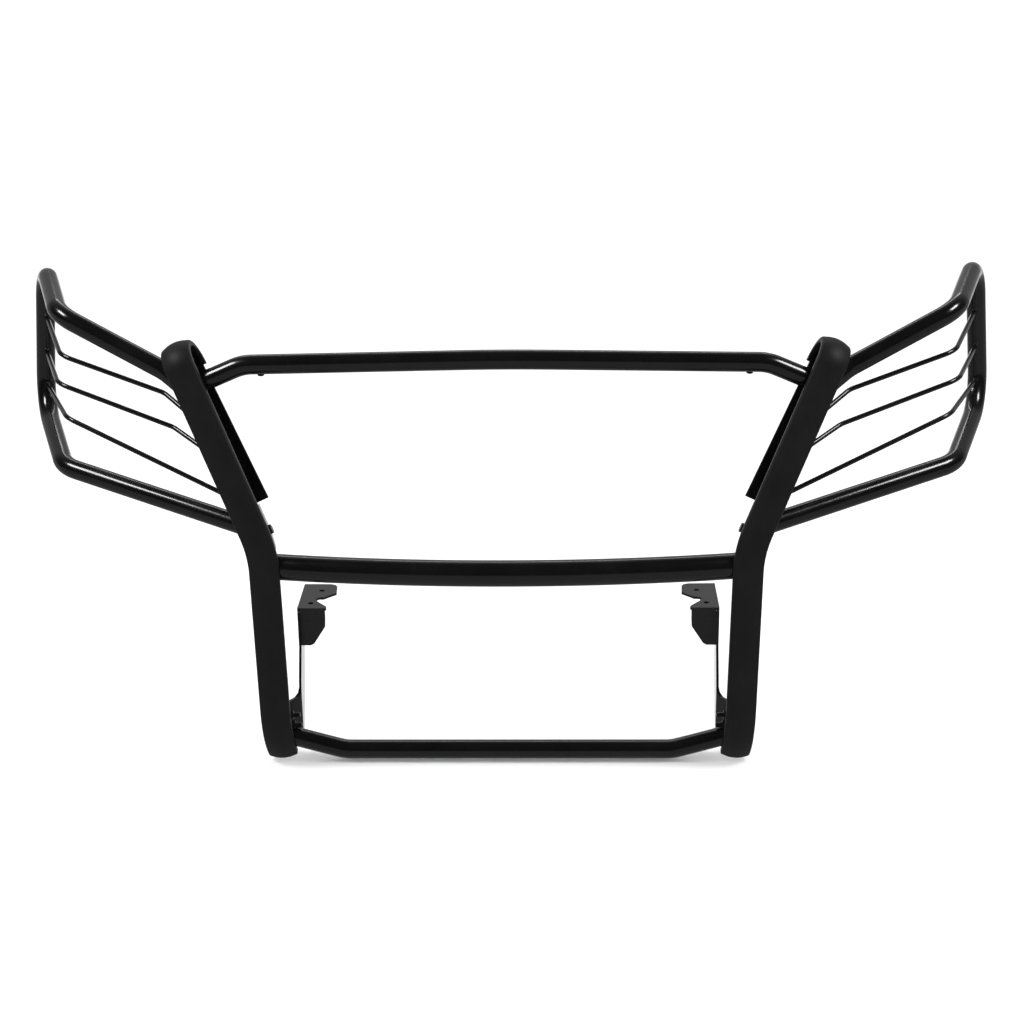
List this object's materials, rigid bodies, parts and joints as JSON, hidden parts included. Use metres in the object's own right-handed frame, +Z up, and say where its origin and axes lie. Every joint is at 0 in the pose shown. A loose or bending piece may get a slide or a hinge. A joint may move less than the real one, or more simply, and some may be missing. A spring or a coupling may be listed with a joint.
{
  "type": "front grille guard",
  "caption": "Vehicle front grille guard with rubber-faced uprights, tubular cross bars, headlight wings with rods and bolt-on frame brackets.",
  "frame": {"origin": "midway between the two front frame-bolt holes, on the top face of the bracket flanges", "axes": "+X across the vehicle to the right of a viewer facing the guard, +Y rearward toward the vehicle, +Z up"},
  "size_m": [1.9414, 0.4646, 0.9233],
  "materials": {
    "powder_coat": "gloss black powder coat",
    "rubber": "matte black moulded rubber",
    "hardware": "black zinc plating"
  },
  "bodies": {
    "root": {"upright_strap_left": "powder_coat", "upright_strap_right": "powder_coat", "upright_web_left": "powder_coat", "upright_web_right": "powder_coat", "hook_web_left": "powder_coat", "hook_web_right": "powder_coat", "knee_plate_left": "powder_coat", "knee_plate_right": "powder_coat", "bracket_tab_left": "powder_coat", "bracket_tab_right": "powder_coat", "rubber_strip_left": "rubber", "rubber_strip_right": "rubber", "top_bar": "powder_coat", "middle_bar": "powder_coat", "bottom_bar": "powder_coat", "wing_loop_left": "powder_coat", "wing_loop_right": "powder_coat", "wing_plate_left": "powder_coat", "wing_plate_right": "powder_coat", "wing_end_plate_left": "powder_coat", "wing_end_plate_right": "powder_coat", "upper_rod_left": "powder_coat", "upper_rod_right": "powder_coat", "centre_rod_left": "powder_coat", "centre_rod_right": "powder_coat", "lower_rod_left": "powder_coat", "lower_rod_right": "powder_coat", "mount_bracket_left": "powder_coat", "mount_bracket_right": "powder_coat", "bracket_bolts": "hardware", "bracket_washers": "hardware", "bracket_nuts": "hardware", "knee_bolts": "hardware", "knee_washers": "hardware", "knee_spacers": "hardware", "wing_bolts": "hardware", "wing_nuts": "hardware", "lamp_bolts": "hardware"}
  },
  "joints": []
}
